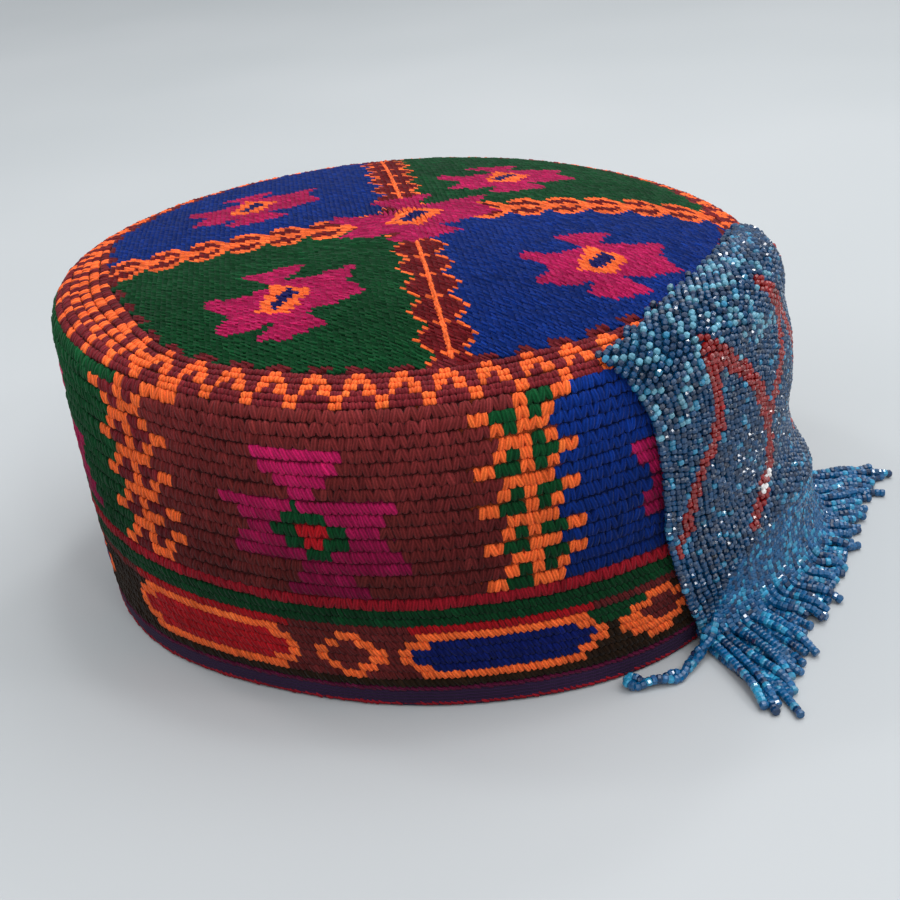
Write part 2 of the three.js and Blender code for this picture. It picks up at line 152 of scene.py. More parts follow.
def table_at(table, at, column):
    """A column of a table whose first column is the ordered key."""
    keys, v, last = table[:, 0], table[:, column], len(table) - 1
    at = np.asarray(at, float)
    i = np.clip(np.searchsorted(keys, at, side="right") - 1, 0, last - 1)
    t = np.clip((at - keys[i]) / (keys[i + 1] - keys[i]), 0, 1)
    return hermite(v[np.maximum(i - 1, 0)], v[i], v[i + 1], v[np.minimum(i + 2, last)], t)


def section(azimuth):
    """The cap's section: base, rim, wall height, peak, arc centre, edge radius and height, end."""
    base = BASE_RADIUS * (1 + outline_at(azimuth, 0))
    rim = RIM_RADIUS * (1 + outline_at(azimuth, 1))
    wall = RIM_HEIGHT * (1 + outline_at(azimuth, 2)) - SHOULDER
    peak = RIM_HEIGHT + CROWN_RISE
    centre = rim - SHOULDER
    edge_r, edge_h, turn = centre, wall + SHOULDER, math.pi / 2
    for _ in range(8):
        turn = math.pi / 2 - np.arctan(CROWN_POWER * (peak - edge_h) / edge_r)
        edge_r = centre + SHOULDER * np.cos(turn)
        edge_h = wall + SHOULDER * np.sin(turn)
    return base, rim, wall, peak, centre, edge_r, edge_h, wall + SHOULDER * turn


def turned(azimuth, centre):
    """Degrees from a centre to an azimuth, from -180 to 180."""
    return np.mod(azimuth - centre + 540, 360) - 180


def hollow_at(azimuth, height):
    deep = 0.0
    for az, up, wide, tall, depth in HOLLOWS:
        away = height / RIM_HEIGHT - up
        share = np.exp(-((turned(azimuth, az) / wide) ** 2) - (away / tall) ** 2)
        deep = deep + depth * CLOTH * share
    return deep


def cap_point(azimuth, run, depth=0.0):
    """Points of the cap at an azimuth and a run up its face, at a depth inside it."""
    azimuth, run, depth = np.broadcast_arrays(
        np.asarray(azimuth, float), np.asarray(run, float), np.asarray(depth, float)
    )
    base, rim, wall, peak, centre, edge_r, edge_h, end = section(azimuth)
    t = run / wall
    wall_r = base + (rim - base) * t + WALL_BULGE * 4 * t * (1 - t)
    wall_r = wall_r - depth - hollow_at(azimuth, run)
    angle = (run - wall) / SHOULDER
    fade = 1 - (run - wall) / (end - wall)
    arc = SHOULDER - depth - hollow_at(azimuth, wall) * fade
    arc_r, arc_h = centre + arc * np.cos(angle), wall + arc * np.sin(angle)
    flat = np.maximum(edge_r - (run - end), 0)
    share, rise = flat / edge_r, peak - edge_h
    slope = np.arctan(CROWN_POWER * rise / edge_r * share ** (CROWN_POWER - 1))
    top_r = flat - depth * np.sin(slope)
    top_h = edge_h + rise * (1 - share**CROWN_POWER) - depth * np.cos(slope)
    on_wall, on_arc = run <= wall, run <= end
    radius = np.where(on_wall, wall_r, np.where(on_arc, arc_r, top_r))
    height = np.where(on_wall, run, np.where(on_arc, arc_h, top_h))
    a = np.radians(azimuth)
    x = radius * np.sin(a) + LEAN_SIDE * height / RIM_HEIGHT
    y = -radius * np.cos(a) + LEAN_BACK * height / RIM_HEIGHT
    return np.stack([x, y, height], axis=-1)


def unit(v):
    return v / np.maximum(np.linalg.norm(v, axis=-1, keepdims=True), 1e-9)


def cap_axes(azimuth, run):
    """Right, up and outward directions on the cap's face."""
    right = unit(cap_point(azimuth + 0.2, run) - cap_point(azimuth - 0.2, run))
    up = unit(cap_point(azimuth, run + 0.3) - cap_point(azimuth, run - 0.3))
    out = unit(np.cross(right, up))
    return right, unit(np.cross(out, right)), out


def crown_spot(p, q):
    """Azimuth and run of a place on the crown, given in the crown's own square axes."""
    turn = math.radians(CROWN_TURN)
    x = p * math.cos(turn) + q * math.sin(turn)
    front = q * math.cos(turn) - p * math.sin(turn)
    azimuth = np.degrees(np.arctan2(x, front))
    *_, edge_r, _, end = section(azimuth)
    return azimuth, end + edge_r - np.hypot(x, front)


def flap_point(across, down, outward):
    """Points of the flap: share of its width, share of its length from the top, distance out."""
    across, down = np.broadcast_arrays(np.asarray(across, float), np.asarray(down, float))
    width = np.clip(across, 0, 1)
    left, right = table_at(FLAP_SIDES, down, 1), table_at(FLAP_SIDES, down, 2)
    first, last = FLAP_SIDES[0, 1:]
    *_, edge_r, _, end = section(first + (last - first) * across)
    top = end + edge_r - RIM_RADIUS * table_at(FLAP_ENDS, width, 1)
    bottom = RIM_HEIGHT * table_at(FLAP_ENDS, width, 2)
    run = top - down * (top - bottom)
    stand = flap_standoff(across, np.clip(down, 0, 1))
    return cap_point(left + (right - left) * across, run, -stand - outward)


def flap_standoff(across, down):
    on_left = across < FLAP_MIDDLE
    reach = np.where(on_left, FLAP_MIDDLE, 1 - FLAP_MIDDLE)
    share = np.clip(1 - np.abs(across - FLAP_MIDDLE) / reach, 0, 1)
    share = share * share * (3 - 2 * share)
    edge = np.where(on_left, table_at(FLAP_DRAPE, down, 1), table_at(FLAP_DRAPE, down, 3))
    middle = table_at(FLAP_DRAPE, down, 2)
    return FLAP_GAP + FLAP_FLARE * (edge + (middle - edge) * share)


# Meshes from arrays


def added(name, data):
    thing = bpy.data.objects.new(name, data)
    bpy.context.scene.collection.objects.link(thing)
    return thing


def mesh_piece(name, points, faces, material, colours=None, along=None, smooth=True):
    """One piece from points in millimetres and lists of faces of equal length."""
    mesh = bpy.data.meshes.new(name)
    points = (np.asarray(points, float) + AXIS) * MM
    mesh.vertices.add(len(points))
    mesh.vertices.foreach_set("co", points.ravel())
    loops = np.concatenate([np.asarray(f, np.int32).ravel() for f in faces])
    sizes = np.concatenate([np.full(len(f), f.shape[1], np.int32) for f in faces])
    mesh.loops.add(len(loops))
    mesh.loops.foreach_set("vertex_index", loops)
    mesh.polygons.add(len(sizes))
    mesh.polygons.foreach_set("loop_start", np.concatenate([[0], np.cumsum(sizes)[:-1]]))
    mesh.polygons.foreach_set("use_smooth", np.full(len(sizes), smooth))
    if colours is not None:
        layer = mesh.color_attributes.new("thread", "FLOAT_COLOR", "POINT")
        rgba = np.concatenate([colours, np.ones((len(colours), 1))], axis=1)
        layer.data.foreach_set("color", rgba.astype(np.float32).ravel())
    if along is not None:
        layer = mesh.uv_layers.new(name="along")
        layer.data.foreach_set("uv", along[loops].astype(np.float32).ravel())
    mesh.update(calc_edges=True)
    mesh.validate()
    mesh.materials.append(material)
    piece = added(name, mesh)
    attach(piece, "root")
    return piece


def net(count, rows, closed=True):
    """Faces of a ring of count lines of rows points each. In a closed net they are loops."""
    i, k = np.arange(count)[:, None], np.arange(rows if closed else rows - 1)
    nxt, up = (i + 1) % count, (k + 1) % rows
    return np.stack([i * rows + k, nxt * rows + k, nxt * rows + up, i * rows + up], axis=-1)


def repeated(template, faces, frames):
    """Copies of a template, one for each frame of (centre, x, y, z axes)."""
    centre, *axes = frames
    points = centre[:, None] + template @ np.stack(axes, axis=1)
    shift = (np.arange(len(centre)) * len(template))[:, None, None]
    return points.reshape(-1, 3), [(f[None] + shift).reshape(-1, f.shape[1]) for f in faces]


def stitch_template(profile):
    """A strand: x along it, y across it, z out of the cloth, each from -1 or 0 to 1."""
    stations = [(-0.7, 0.86), (0.0, 1.0), (0.7, 0.86)]
    if profile is RIDGE:
        stations = [(-0.7, 1.0), (0.7, 1.0)]
    points = [(s, w * k, h * k) for s, k in stations for w, h in profile]
    n, base = len(profile), len(points) - len(profile)
    points += [(-1.04, 0.0, 0.3), (1.04, 0.0, 0.3)]
    quads = net(len(stations), n)[:-1, :, [0, 3, 2, 1]].reshape(-1, 4)
    k = np.arange(n)
    up = (k + 1) % n
    tip = 0 * k + base + n
    tris = np.array([(tip, up, k), (tip + 1, base + k, base + up)]).transpose(2, 0, 1)
    return np.array(points), [quads, tris.reshape(-1, 3)]


# Painted light and shade in the thread, by run up the cap's face: lighter towards the wall's top,
# darker at the band and on the crown.
PAINTED_SHADE_RUN = [0, 20, 26, 32, 45, 58, 74, 84, 92, 100]
PAINTED_SHADE = [0.66, 0.66, 0.52, 0.56, 0.70, 0.92, 1.18, 1.02, 0.82, 0.74]
PLUMP = [(-1.0, 0.0), (-0.72, 0.72), (0.0, 1.0), (0.72, 0.72), (1.0, 0.0)]
RIDGE = [(-1.0, 0.0), (0.0, 1.0), (1.0, 0.0)]
SLIM = [(-1.0, 0.0), (-0.55, 0.92), (0.55, 0.92), (1.0, 0.0)]


def wander(azimuth, row, reach):
    """How far a row of stitches strays up and down as it goes round."""
    a, shift = np.radians(azimuth), row * 2.4
    slow = np.sin(7 * a + shift) + 0.7 * np.sin(17 * a - 1.7 * shift)
    return reach * (slow + 0.5 * np.sin(41 * a + 0.9 * shift))


def stitch_piece(name, azimuth, run, lean, half_length, half_width, colour, seed, profile):
    """Strands sewn on the cap's face. lean is in degrees from upright, to the left."""
    rng = np.random.default_rng(seed)
    n = len(azimuth)
    lean = np.radians(lean + rng.normal(0, 5, n))[:, None]
    half_width = np.broadcast_to(half_width, n)[:, None]
    right, up, out = cap_axes(azimuth, run)
    run = run + rng.normal(0, 0.06, n)
    centre = cap_point(azimuth + rng.normal(0, 0.03, n), run, SINK)
    along = up * np.cos(lean) - right * np.sin(lean)
    across = np.cross(along, out)
    swell = rng.normal(1, 0.06, n)[:, None]
    frames = (
        centre,
        along * (half_length * rng.normal(1, 0.03, n))[:, None],
        across * half_width * swell,
        out * (SINK + PROUD) * swell * rng.normal(1, 0.08, n)[:, None],
    )
    template, faces = stitch_template(profile)
    points, copies = repeated(template, faces, frames)
    shade = rng.normal(1, 0.09, n)[:, None] * (1 + rng.normal(0, 0.02, (n, 3)))
    shade = shade * np.where(rng.random(n) < 0.04, 1.3, 1.0)[:, None]
    # painted shade: each strand is made lighter or darker by its run up the cap's face; orange
    # takes less of it, and the wall's magenta takes it squared
    worn_and_shaded = np.interp(run, PAINTED_SHADE_RUN, PAINTED_SHADE)
    worn_and_shaded = np.where(colour == INDEX["orange"], 0.7 + 0.3 * worn_and_shaded, worn_and_shaded)
    worn_and_shaded = np.where((colour == INDEX["magenta"]) & (run < 84), worn_and_shaded * worn_and_shaded, worn_and_shaded)
    shade = shade * worn_and_shaded[:, None]
    tint = np.clip(PALETTE[colour] * shade, 0, 1)
    material = MATERIALS["thread"]
    uv = np.tile(template[:, :2], (n, 1)) + np.repeat(rng.random((n, 2)), len(template), axis=0)
    return mesh_piece(
        name, points, copies, material, np.repeat(tint, len(template), axis=0), uv
    )


# Materials


def node_material(name):
    material = bpy.data.materials.new(name)
    material.use_nodes = True
    tree = material.node_tree
    return material, tree, tree.nodes["Principled BSDF"]


def set_node(tree, node, **values):
    """A node's settings and inputs, whose names take _ for a space. Sockets are linked."""
    for key, value in values.items():
        if hasattr(node, key):
            setattr(node, key, value)
        elif isinstance(value, bpy.types.NodeSocket):
            tree.links.new(value, node.inputs[key.replace("_", " ")])
        else:
            node.inputs[key.replace("_", " ")].default_value = value


def add_node(tree, kind, **values):
    node = tree.nodes.new("ShaderNode" + kind)
    set_node(tree, node, **values)
    return node


def noise(tree, place, scale, detail):
    return add_node(tree, "TexNoise", Vector=place, Scale=scale, Detail=detail).outputs["Fac"]


def bands(tree, place, direction, scale, distortion):
    node = add_node(
        tree, "TexWave", wave_type="BANDS", bands_direction=direction, Vector=place, Scale=scale,
        Distortion=distortion,
    )
    return node.outputs["Fac"]


def combined(tree, operation, first, second):
    node = add_node(tree, "Math", operation=operation)
    tree.links.new(first, node.inputs[0])
    tree.links.new(second, node.inputs[1])
    return node.outputs["Value"]


def ramp(tree, source, low, high, first, second):
    node = add_node(tree, "ValToRGB", Fac=source)
    for element, position, colour in zip(node.color_ramp.elements, (low, high), (first, second)):
        element.position, element.color = position, (*colour, 1.0)
    return node.outputs["Color"]


def tinted(tree, source, led_by, low, high):
    """A colour times a grey between low and high, led by a texture."""
    levels = ramp(tree, led_by, 0.3, 0.7, (low, low, low), (high, high, high))
    mix = add_node(
        tree, "Mix", data_type="RGBA", blend_type="MULTIPLY", Factor=1.0, A=source, B=levels
    )
    return mix.outputs["Result"]


def bump(tree, height, strength, distance):
    node = add_node(tree, "Bump", Strength=strength, Distance=distance, Height=height)
    return node.outputs["Normal"]


def between(tree, source, low, high):
    return add_node(tree, "MapRange", To_Min=low, To_Max=high, Value=source).outputs["Result"]


def thread_material(name, sheen, ply_scale):
    """Embroidery thread: plied yarn with fuzz, coloured by the piece's own attribute."""
    material, tree, shader = node_material(name)
    colour = add_node(tree, "Attribute", attribute_name="thread").outputs["Color"]
    place = add_node(tree, "TexCoord").outputs
    fuzz = noise(tree, place["Object"], 2600.0, 3.0)
    wear = noise(tree, place["Object"], 55.0, 2.0)
    ply = bands(tree, place["UV"], "Y", ply_scale, 0.8)
    worn_and_shaded = tinted(tree, colour, wear, 0.84, 1.1)
    fine = tinted(tree, worn_and_shaded, fuzz, 0.8, 1.16)
    set_node(
        tree, shader, Base_Color=tinted(tree, fine, ply, 0.72, 1.1),
        Normal=bump(tree, combined(tree, "ADD", ply, fuzz), 0.7, 0.00016),
        Roughness=between(tree, fuzz, 0.62, 0.88), Sheen_Weight=sheen, Sheen_Roughness=0.45,
        Specular_IOR_Level=0.06,
    )
    return material


def weave_material(name, colour, scale, contrast):
    """Plain-weave cloth of one yarn colour."""
    material, tree, shader = node_material(name)
    place = add_node(tree, "TexCoord").outputs["Object"]
    base = add_node(tree, "RGB").outputs[0]
    base.default_value = (*linear(colour), 1.0)
    x, y, z = (bands(tree, place, direction, scale, 0.6) for direction in "XYZ")
    yarns = combined(tree, "ADD", combined(tree, "MULTIPLY", x, y), z)
    woven = tinted(tree, base, yarns, 1 - contrast, 1 + contrast / 2)
    set_node(
        tree, shader, Base_Color=tinted(tree, woven, noise(tree, place, 24.0, 4.0), 0.86, 1.06),
        Normal=bump(tree, yarns, 0.5, 0.00015), Roughness=0.85, Specular_IOR_Level=0.15,
        Sheen_Weight=0.04,
    )
    return material


def bead_material(name, roughness, coat):
    """Glass beads: each bead's colour from the piece's attribute, with cloudy glass and dust."""
    material, tree, shader = node_material(name)
    colour = add_node(tree, "Attribute", attribute_name="thread").outputs["Color"]
    place = add_node(tree, "TexCoord").outputs["Object"]
    cloud = noise(tree, place, 900.0, 2.0)
    dust = noise(tree, place, 130.0, 3.0)
    mottled = tinted(tree, colour, cloud, 0.78, 1.2)
    set_node(
        tree, shader, Base_Color=tinted(tree, mottled, dust, 0.85, 1.1),
        Roughness=between(tree, dust, roughness * 0.7, roughness * 1.5),
        Normal=bump(tree, cloud, 0.1, 0.00004), IOR=1.55, Specular_IOR_Level=0.4,
        Coat_Weight=coat, Coat_Roughness=0.08,
    )
    return material


MATERIALS = {
    "thread": thread_material("embroidery_thread", 0.04, 0.42),
    "ground": thread_material("ground_cloth", 0.03, 3.0),
    "lining": weave_material("lining_cotton", COLOURS["lining"], 900.0, 0.3),
    "hem": weave_material("hem_tape_weave", COLOURS["hem"], 700.0, 0.4),
    "backing": weave_material("flap_backing_thread", (22, 62, 92), 800.0, 0.45),
    "bead": bead_material("flap_glass", 0.1, 0.25),
    "strand": bead_material("fringe_glass", 0.1, 0.35),
}


# Pattern

SINK = 0.8  # how far a strand's root lies inside the cap's face
GROUND_DEPTH = SINK - 0.15  # of the ground cloth's outer face, so that strands root in it
# Painted shade: the ground cloth takes the colours of the thread over it, darkened by this share,
# so the gaps between strands look shaded.
PAINTED_GAP_SHADE = 0.35  # how dark the ground is against the thread on it
PROUD = 0.12  # how far a strand's back stands out of it
WALL_STRAND, BAND_STRAND = 1.04, 0.98  # half widths of strands
CROWN_STRAND, STEM_STRAND = 0.8, 1.15
CELLS = 378  # strands in one round of the wall
CELL = 360 / CELLS
COLUMN_AZIMUTH = 13.0
COLUMNS = [0, 63, 126, 189, 252, 313]  # cells where the wall's columns stand
WALL_RIBS = 16
CROWN_RIB = 14  # the first rib that is sewn on the crown's solid
BORDER_RIBS = 6
BORDER_FOOT = 6.0  # the border's lowest rib above the wall's top
BORDER_PITCH = 1.575
CROWN_TURN = 5.1  # azimuth of the crown's front arm
CROWN_PITCH = 10.4 / 8
MEDALLION = (1.5, 3.0)

# Stars with flaring arms, their rings and hearts, about the centre, x to the right and y up.
WALL_STAR = [
    (-11.4, 18), (10, 18.5), (5, 11.1), (1.8, 8.5), (2.4, 5.6), (11.2, 6.5), (21, 6.4),
    (14.9, 0.6), (18.6, -5.4), (23.3, -10.9), (13.2, -10.8), (5.6, -9.4), (9.1, -14.3),
    (12.8, -18.4), (-8.1, -17.1), (-2.8, -12.3), (-4.3, -9.0), (-15.5, -8.4), (-21.5, -6.7),
    (-14.6, 0.9), (-22.8, 8.8), (-13.2, 7.2), (-4.2, 6.4), (-2.8, 9.1),
]
WALL_RING = [(-9.4, -0.4), (-3.3, 6.0), (3.2, 3.2), (10.2, -2.6), (1.3, -8.4), (-5.4, -5.2)]
WALL_HEART = [(-4.6, 0.3), (-0.1, 2.6), (5.2, -1.8), (0.9, -5.8), (-2.2, -3.1)]
CROWN_STAR = [
    (-9.7, 14.4), (6.7, 16.6), (0.9, 8.8), (7.8, 8.6), (18.3, 11.3), (15.1, 4.0), (19.2, -2.8),
    (10.3, -6.8), (2.9, -7.0), (6.0, -9.8), (9.7, -13.4), (-1.7, -16.8), (-7.4, -14.7),
    (-4.6, -11.4), (-2.3, -9.0), (-10.8, -10.8), (-17.3, -8.8), (-12.3, -2.2), (-19.0, 3.4),
    (-17.4, 7.0), (-10.7, 3.8), (-2.2, 6.7), (-3.3, 8.8),
]
CROWN_RING = [(-1.8, 8.4), (7.2, 2.2), (1.2, -6.6), (-6.6, -4.0)]
CROWN_HEART = [(1.5, 4.9), (3.6, 1.8), (-2.2, -3.9), (-3.8, -1.6)]

# One rib of a column's side, outwards from the stem in cells: o orange, f the leaf's colour.
LEAF_RIBS = {"leaf": "ffoo...", "tip": "ffffooo", "bar": "ooo....", "bare": "......."}
# A column's two sides, from the lowest rib up.
LEFT_SIDE = "bare tip leaf bar tip leaf bar tip leaf bar tip leaf bar leaf tip bare"
RIGHT_SIDE = "bare bar leaf tip bar tip bar leaf tip bar leaf tip leaf bar leaf tip"
# The border's wave, one repeat of seven cells, from its lowest rib up.
WAVE = ["oo.....", "oo.....", "..o..oo", "..oo.oo", "..oooo.", "...oo.."]


def inside(polygon, x, y):
    """Which points lie inside a polygon."""
    result = np.zeros(np.shape(x), bool)
    for (x0, y0), (x1, y1) in zip(polygon, np.roll(polygon, -1, axis=0)):
        crosses = (y0 > y) != (y1 > y)
        with np.errstate(divide="ignore", invalid="ignore"):
            at = x0 + (y - y0) / (y1 - y0) * (x1 - x0)
        result ^= crosses & (x < at)
    return result


def paint(colour, where, name):
    colour[where] = INDEX[name]


def band_top(azimuth):
    """Height of the band's upper line, which rises on the left."""
    return BAND_LINE + 2.4 * np.exp(-((turned(azimuth, -60) / 28) ** 2))


def border_pitch(azimuth):
    """Height of the border's ribs, which are wider on the left."""
    return BORDER_PITCH + np.exp(-((turned(azimuth, -74) / 24) ** 4))


def border_head(azimuth):
    """Run of the border's upper edge, where the crown's field starts."""
    return section(azimuth)[2] + BORDER_FOOT + BORDER_RIBS * border_pitch(azimuth)


def rib_edge(azimuth, rib):
    """Run of a rib's lower edge on the wall and the border."""
    foot, head = band_top(azimuth), section(azimuth)[2] + BORDER_FOOT
    on_wall = foot + (head - foot) * rib / WALL_RIBS
    on_border = head + (rib - WALL_RIBS) * border_pitch(azimuth)
    return np.where(rib <= WALL_RIBS, on_wall, on_border)


PANELS = ["blue", "green", "brown", "blue", "green", "brown"]
RINGS = [("orange", "navy"), ("orange", "navy"), ("green", "red")] * 2
STAR_AZIMUTH = [43, 103, 163, 223, 281, -19]
STAR_HEIGHT = 48.6
LEAVES = ["green", "brown", "maroon", "green", "brown", "maroon"]


def panel_colour(names, cell):
    """The thread of the panel that each cell is in."""
    panel = np.searchsorted(COLUMNS, np.mod(cell, CELLS), side="right") - 1
    return np.array([INDEX[name] for name in names])[panel]


def wall_colour(cell, rib, azimuth, run):
    """Thread colours of the wall and the border, by half-cell and rib."""
    colour = panel_colour(PANELS, cell)
    for k, (ring, heart) in enumerate(RINGS):
        x = np.radians(turned(azimuth, STAR_AZIMUTH[k])) * RIM_RADIUS
        y = run - STAR_HEIGHT
        tips = [inside(WALL_STAR, x, y + shift) for shift in (-0.9, 0, 0.9)]
        paint(colour, np.any(tips, axis=0), "magenta")
        paint(colour, inside(WALL_RING, x, y), ring)
        paint(colour, inside(WALL_HEART, x, y), heart)
    for k, stem in enumerate(COLUMNS):
        step = np.mod(cell - stem + CELLS // 2, CELLS) - CELLS // 2
        for ribs, reach in ((LEFT_SIDE, -step - 2), (RIGHT_SIDE, step - 1)):
            chart = np.array([list(LEAF_RIBS[name]) for name in ribs.split()])
            mark = chart[np.clip(rib, 0, WALL_RIBS - 1), np.clip(reach, 0, 6)]
            here = (reach >= 0) & (reach <= 6) & (rib < WALL_RIBS)
            paint(colour, here & (mark == "o"), "orange")
            paint(colour, here & (mark == "f"), LEAVES[k])
        paint(colour, ((step == 0) | (step == -1)) & (rib < WALL_RIBS), "orange")
    paint(colour, rib == 0, "crimson")
    border = rib >= WALL_RIBS
    paint(colour, border, "maroon")
    wave = np.array([list(row) for row in WAVE])
    mark = wave[np.clip(rib - WALL_RIBS, 0, BORDER_RIBS - 1), np.mod(cell + 14, 7)]
    paint(colour, border & (mark == "o"), "orange")
    # blocks that join the left column to the border
    for centre, reach, first, last in ((-39.5, 1.7, 15, 17), (-46.4, 1.6, 17, 19)):
        here = (np.abs(turned(azimuth, centre)) < reach) & (rib >= first) & (rib <= last)
        paint(colour, here, "orange")
    return colour


# Band motifs: azimuth of the middle, half width in degrees, thread inside.
CARTOUCHES = [(6.7, 16.6, "deepblue"), (-41.3, 17.3, "red")]
CARTOUCHES += [(53 + 42 * i, 14.4, ("red", "deepblue")[i % 2]) for i in range(6)]
LOZENGES = [(-16.8, 6.7, "brown"), (31.2, 8.0, "brown"), (284.6, 6.2, "deepblue")]
LOZENGES += [(74 + 42 * i, 5.6, ("deepblue", "brown")[i % 2]) for i in range(5)]
BAND_FOOT = 6.0
BAND_ROWS = 10
BAND_LINE = BAND_TOP + 0.2  # the band's upper line where it is lowest
BAND_GROUND = ["olive", "olive", "brown", "green", "olive", "brown"]
MOTIF_HEIGHT = 14.6
RED_LEVEL, GREEN_LEVEL = 20.8, 22.9  # where the band's red and green lines start
MOTIF_ROOM = 6.6
LOZENGE_HALF, LOZENGE_HEART = 7.6, 4.6
CARTOUCHE_HALF = 6.2
CARTOUCHE_END = 7.5
OUTLINE_WIDTH = 2.2


def band_colour(cell, azimuth, level):
    """Thread colours of the lower band. level is the height on a band of even height."""
    colour = panel_colour(BAND_GROUND, cell)
    y = level - MOTIF_HEIGHT
    for centre, half, inner in CARTOUCHES:
        x = np.radians(turned(azimuth, centre)) * BASE_RADIUS
        length = math.radians(half) * BASE_RADIUS
        for shrink, name in ((0, "orange"), (OUTLINE_WIDTH, inner)):
            tall, long = CARTOUCHE_HALF - shrink, length - shrink * 1.4
            slope = np.maximum(np.abs(x) - (long - CARTOUCHE_END), 0) / CARTOUCHE_END
            paint(colour, np.abs(y) / tall + slope < 1, name)
    corner = (azimuth > 19) & (azimuth < 34) & (y > 1.0)
    paint(colour, corner & (colour == INDEX["olive"]), "green")
    for k, (centre, half, inner) in enumerate(LOZENGES):
        x = np.radians(turned(azimuth, centre)) * BASE_RADIUS
        length = math.radians(half) * BASE_RADIUS
        paint(colour, np.abs(x) / length + np.abs(y) / LOZENGE_HALF < 1, "orange")
        # the one under the flap's corner is heavier at its left and its foot
        aside, above = (1.8, 0.9) if k == 1 else (0.0, 0.0)
        tall = LOZENGE_HEART - above / 2
        heart = np.abs(x - aside) / (length - 4 - aside) + np.abs(y - above) / tall < 1
        paint(colour, heart, inner)
    paint(colour, np.abs(y) > MOTIF_ROOM, "brown")
    paint(colour, level < BAND_FOOT + 2.1, "olive")
    lined = np.zeros(np.shape(azimuth), bool)
    for centre, half, _ in CARTOUCHES:
        lined |= np.abs(turned(azimuth, centre)) < half - 2.5
    paint(colour, lined & (level > RED_LEVEL), "red")
    paint(colour, level > GREEN_LEVEL, "green")
    return colour


STARS = [(-34.2, 42.6), (41.3, 42.2), (-40.0, -28.0), (31.0, -27.0)]
CROWN_PHASE = 37.0  # a leaf's tip on the crown's front arm
# One side of the front and back arms, outwards from the stem, for each stitch along one leaf:
# o orange, r dark red. The arms to the sides have more orange.
ARM = ["or...", "rro..", "rrro.", "rrrr.", "rrrro", "rrrr.", "rrro.", "rro.."]
SIDE_ARM = ["oo...", "orro.", "orroo", "rrroo", "orrro", "orroo", "rroo.", "ooo.."]


def arm_colour(colour, across, along, rows):
    """An arm of the crown: stem, leaves and their dotted edge."""
    chart = np.array([list(row) for row in rows])
    side = np.round(np.abs(across) / CROWN_PITCH).astype(int)
    row = np.mod(np.round((along - CROWN_PHASE) / CROWN_PITCH).astype(int) + 4, 8)
    mark = np.where((side > 0) & (side < 6), chart[row, np.clip(side - 1, 0, 4)], ".")
    paint(colour, mark == "r", "darkred")
    paint(colour, (mark == "o") | (side == 0), "orange")


def emblem(colour, x, y):
    """The crown's star, its ring and the ring's heart, about their centre."""
    tips = [inside(CROWN_STAR, x + a, y + b) for a in (-0.5, 0.5) for b in (-0.5, 0.5)]
    paint(colour, np.sum(tips, axis=0) > 1, "magenta")
    paint(colour, inside(CROWN_RING, x, y), "orange")
    paint(colour, inside(CROWN_HEART, x, y), "navy")


def crown_colour(p, q, azimuth, run):
    """Thread colours of the crown in its square axes, q towards the front."""
    arm_q = q - (CROWN_PHASE - 25 * CROWN_PITCH)
    colour = np.where((arm_q > 0) == (p > 0), INDEX["blue"], INDEX["green"])
    for cp, cq in STARS:
        emblem(colour, p - cp, cq - q)
    arm_colour(colour, p, q, ARM)
    arm_colour(colour, arm_q, p + CROWN_PHASE, SIDE_ARM)
    emblem(colour, (p - MEDALLION[0]) / 1.15, (MEDALLION[1] - q) / 1.1)
    scallop = np.isin(np.mod(cell_of(azimuth) + 14, 7), (2, 3, 4, 5))
    paint(colour, scallop & (run < border_head(azimuth) + 2.0), "maroon")
    return colour


# Cloth shells


def cloth_piece(name, points, faces, colours, lined, replaced):
    """Ground cloth of a solid, with cotton on the faces that are lined."""
    material = MATERIALS["ground"]
    # painted shade: the ground carries the colours of the threads sewn over it, darkened, so the
    # gaps between strands look shaded
    piece = mesh_piece(name, points, faces, material, colours * PAINTED_GAP_SHADE, points[:, :2])
    piece.data.materials.append(MATERIALS["lining"])
    piece.data.polygons.foreach_set("material_index", lined.astype(np.int32))
    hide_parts(replaced)


def ring_shell(name, replaced, foot, head, rows, colour_at):
    """A closed ring of cloth: outer face under the stitches, inner face with the lining."""
    azimuths = COLUMN_AZIMUTH + np.arange(CELLS // 2) * CELL * 2
    az, share = azimuths[:, None], np.linspace(0, 1, rows)[None]
    outer_runs = foot(az) + (head(az) - foot(az)) * share
    inner_runs = outer_runs[:, :: rows - 1]
    outer = cap_point(az, outer_runs, GROUND_DEPTH)
    inner = cap_point(az, inner_runs, CLOTH)
    points = np.concatenate([outer, inner[:, ::-1]], axis=1).reshape(-1, 3)
    runs = np.concatenate([outer_runs, inner_runs], axis=1).ravel()
    colours = PALETTE[colour_at(np.repeat(azimuths, rows + 2), runs)]
    lined = np.tile(np.arange(rows + 2) >= rows, len(azimuths))
    faces = net(len(azimuths), rows + 2).reshape(-1, 4)
    cloth_piece(name, points, [faces], colours, lined, replaced)


def cell_of(azimuth):
    return np.floor((azimuth - COLUMN_AZIMUTH) / CELL + 1e-6).astype(int) % CELLS


def ground_colour(azimuth, run):
    """The colour of the cloth under the stitches of the wall and the border: the threads' own
    pattern, which the ground darkens as painted shade.
    """
    foot, head = band_top(azimuth), section(azimuth)[2] + BORDER_FOOT
    on_wall = (run - foot) / (head - foot) * WALL_RIBS
    on_border = WALL_RIBS + (run - head) / border_pitch(azimuth)
    rib = np.floor(np.where(run < head, on_wall, on_border)).astype(int)
    rib = np.clip(rib, 0, WALL_RIBS + BORDER_RIBS - 1)
    return wall_colour(cell_of(azimuth), rib, azimuth, run)


def band_level(azimuth, run):
    even, here = BAND_LINE - BAND_FOOT, band_top(azimuth) - BAND_FOOT
    return BAND_FOOT + (run - BAND_FOOT) * even / here


